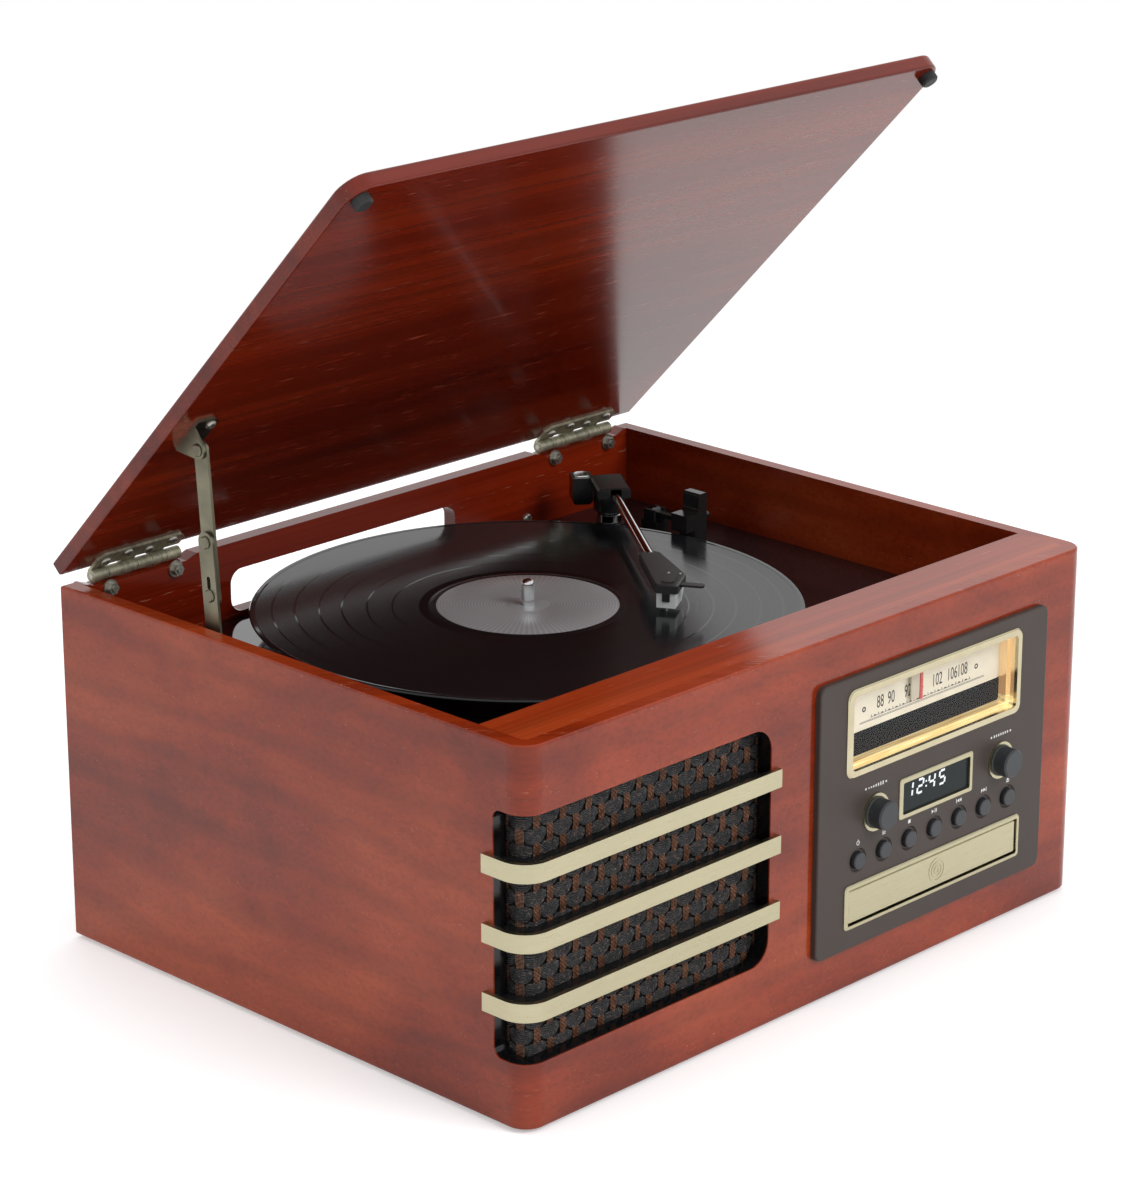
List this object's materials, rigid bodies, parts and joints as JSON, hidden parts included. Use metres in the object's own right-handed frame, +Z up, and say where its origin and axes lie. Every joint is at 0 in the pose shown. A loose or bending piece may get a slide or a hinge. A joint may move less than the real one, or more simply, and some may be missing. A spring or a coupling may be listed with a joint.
{
  "type": "record player",
  "caption": "Wooden tabletop record player with a hinged lid held open by a folding stay, a wrap-round loudspeaker grille, a tuning dial and a disc tray",
  "frame": {"origin": "on the ground under the middle of the cabinet", "axes": "+X to the right seen from the front, the front with the controls faces -Y, +Z up"},
  "size_m": [0.4382, 0.3705, 0.4574],
  "materials": {
    "veneer": "lacquered cherry veneer",
    "plain_wood": "plain",
    "rubber": "matt",
    "deck": "gloss",
    "hinge_metal": "aged, brushed",
    "steel": "brushed",
    "chrome": "polished",
    "gold": "pale gold, brushed",
    "panel": "satin",
    "dial_scale": "matt",
    "clear_window": "clear",
    "pointer": "satin",
    "dark_window": "gloss",
    "circuit_board": "satin",
    "black_plastic": "satin",
    "cloth": "woven",
    "platter": "turned",
    "mat": "matt",
    "vinyl": "gloss",
    "pulley": "turned",
    "belt": "matt",
    "cartridge": "satin"
  },
  "bodies": {
    "cabinet": {"cabinet_shell": "veneer", "back_panel": "veneer", "base_board": "plain_wood", "top_rail": "veneer", "feet": "rubber", "deck_cleats": "plain_wood", "deck_plate": "deck", "cabinet_hinge_leaves": "hinge_metal", "hinge_pins": "steel", "hinge_bolts": "steel", "stay_wall_bracket": "hinge_metal", "control_panel": "panel", "dial_bezel": "gold", "dial_plate": "dial_scale", "dial_glass": "clear_window", "display_window": "dark_window", "panel_trim": "gold", "control_board": "circuit_board", "cd_tray_frame": "gold", "cd_drive": "steel", "speaker_baffle": "plain_wood", "grille_cloth": "cloth", "grille_fins": "black_plastic", "grille_bars": "gold", "speaker_drivers": "black_plastic", "spindle": "chrome", "drive_motor": "steel", "drive_belt": "belt", "tonearm_base": "black_plastic", "arm_rest": "black_plastic", "rear_sockets": "black_plastic", "amplifier_board": "circuit_board"},
    "lid": {"lid_board": "veneer", "lid_bumpers": "rubber", "lid_hinge_leaves": "hinge_metal", "stay_lid_bracket": "hinge_metal"},
    "stay_upper": {"stay_upper_arm": "hinge_metal"},
    "stay_lower": {"stay_lower_arm": "hinge_metal"},
    "turntable": {"platter": "platter", "platter_mat": "mat", "record": "vinyl"},
    "pulley": {"motor_pulley": "pulley"},
    "tonearm_pivot": {"tonearm_yoke": "black_plastic"},
    "tonearm": {"tonearm_tube": "chrome", "headshell": "black_plastic", "cartridge": "cartridge"},
    "cue": {"cue_lever": "black_plastic"},
    "speed": {"speed_switch": "black_plastic"},
    "volume": {"volume_knob": "black_plastic"},
    "tuning": {"tuning_knob": "black_plastic"},
    "pointer": {"dial_pointer": "pointer"},
    "tray": {"cd_tray": "black_plastic", "cd_tray_front": "gold"},
    "power_push": {"power_button": "black_plastic"},
    "function_push": {"function_button": "black_plastic"},
    "stop_push": {"stop_button": "black_plastic"},
    "play_push": {"play_button": "black_plastic"},
    "previous_push": {"previous_button": "black_plastic"},
    "next_push": {"next_button": "black_plastic"},
    "eject_push": {"eject_button": "black_plastic"}
  },
  "joints": [
    {"name": "lid_hinge", "type": "hinge", "parent": "cabinet", "child": "lid", "pos_m": [0, 0.1705, 0.2032], "axis": [1, 0, 0], "range_deg": [0, 46.1]},
    {"name": "stay_upper_pivot", "type": "hinge", "parent": "lid", "child": "stay_upper", "pos_m": [-0.2007, 0.0738, 0.29417], "axis": [-1, 0, 0], "range_deg": [0, 123.79]},
    {"name": "stay_lower_pivot", "type": "hinge", "parent": "cabinet", "child": "stay_lower", "pos_m": [-0.2026, 0.0635, 0.17], "axis": [1, 0, 0], "range_deg": [0, 79.44]},
    {"name": "platter_spin", "type": "hinge", "parent": "cabinet", "child": "turntable", "pos_m": [-0.011, 0.03, 0.1754], "axis": [0, 0, -1], "continuous": true},
    {"name": "pulley_spin", "type": "hinge", "parent": "cabinet", "child": "pulley", "pos_m": [-0.07228, 0.08142, 0.1635], "axis": [0, 0, -1], "continuous": true},
    {"name": "tonearm_swing", "type": "hinge", "parent": "cabinet", "child": "tonearm_pivot", "pos_m": [0.147, 0.12, 0.1735], "axis": [0, 0, 1], "range_deg": [-6.5, 36.33]},
    {"name": "tonearm_lift", "type": "hinge", "parent": "tonearm_pivot", "child": "tonearm", "pos_m": [0.1446, 0.1168, 0.189], "axis": [-0.8004, 0.5994, 0], "range_deg": [0, 3]},
    {"name": "cue_lift", "type": "hinge", "parent": "cabinet", "child": "cue", "pos_m": [0.168, 0.103, 0.171], "axis": [-1, 0, 0], "range_deg": [0, 35]},
    {"name": "speed_select", "type": "slide", "parent": "cabinet", "child": "speed", "axis": [0, 1, 0], "range_m": [-0.008, 0.008]},
    {"name": "volume_turn", "type": "hinge", "parent": "cabinet", "child": "volume", "pos_m": [0.038, -0.1815, 0.0984], "axis": [0, 1, 0], "range_deg": [-150, 150]},
    {"name": "tuning_turn", "type": "hinge", "parent": "cabinet", "child": "tuning", "pos_m": [0.1425, -0.1815, 0.0984], "axis": [0, 1, 0], "range_deg": [-470, 610]},
    {"name": "pointer_slide", "type": "slide", "parent": "cabinet", "child": "pointer", "axis": [1, 0, 0], "range_m": [-0.05, 0.0645]},
    {"name": "tray_slide", "type": "slide", "parent": "cabinet", "child": "tray", "axis": [0, -1, 0], "range_m": [0, 0.128]},
    {"name": "power_press", "type": "slide", "parent": "cabinet", "child": "power_push", "axis": [0, 1, 0], "range_m": [0, 0.0012], "stiffness_N_per_m": 300},
    {"name": "function_press", "type": "slide", "parent": "cabinet", "child": "function_push", "axis": [0, 1, 0], "range_m": [0, 0.0012], "stiffness_N_per_m": 300},
    {"name": "stop_press", "type": "slide", "parent": "cabinet", "child": "stop_push", "axis": [0, 1, 0], "range_m": [0, 0.0012], "stiffness_N_per_m": 300},
    {"name": "play_press", "type": "slide", "parent": "cabinet", "child": "play_push", "axis": [0, 1, 0], "range_m": [0, 0.0012], "stiffness_N_per_m": 300},
    {"name": "previous_press", "type": "slide", "parent": "cabinet", "child": "previous_push", "axis": [0, 1, 0], "range_m": [0, 0.0012], "stiffness_N_per_m": 300},
    {"name": "next_press", "type": "slide", "parent": "cabinet", "child": "next_push", "axis": [0, 1, 0], "range_m": [0, 0.0012], "stiffness_N_per_m": 300},
    {"name": "eject_press", "type": "slide", "parent": "cabinet", "child": "eject_push", "axis": [0, 1, 0], "range_m": [0, 0.0012], "stiffness_N_per_m": 300}
  ],
  "couplings": [
    {"joint": "stay_upper_pivot", "follows": "lid_hinge", "ratio": 2.6842},
    {"joint": "stay_lower_pivot", "follows": "lid_hinge", "ratio": 1.722},
    {"joint": "pulley_spin", "follows": "platter_spin", "ratio": 17.143},
    {"joint": "pointer_slide", "follows": "tuning_turn", "m_per_rad": 0.006}
  ]
}
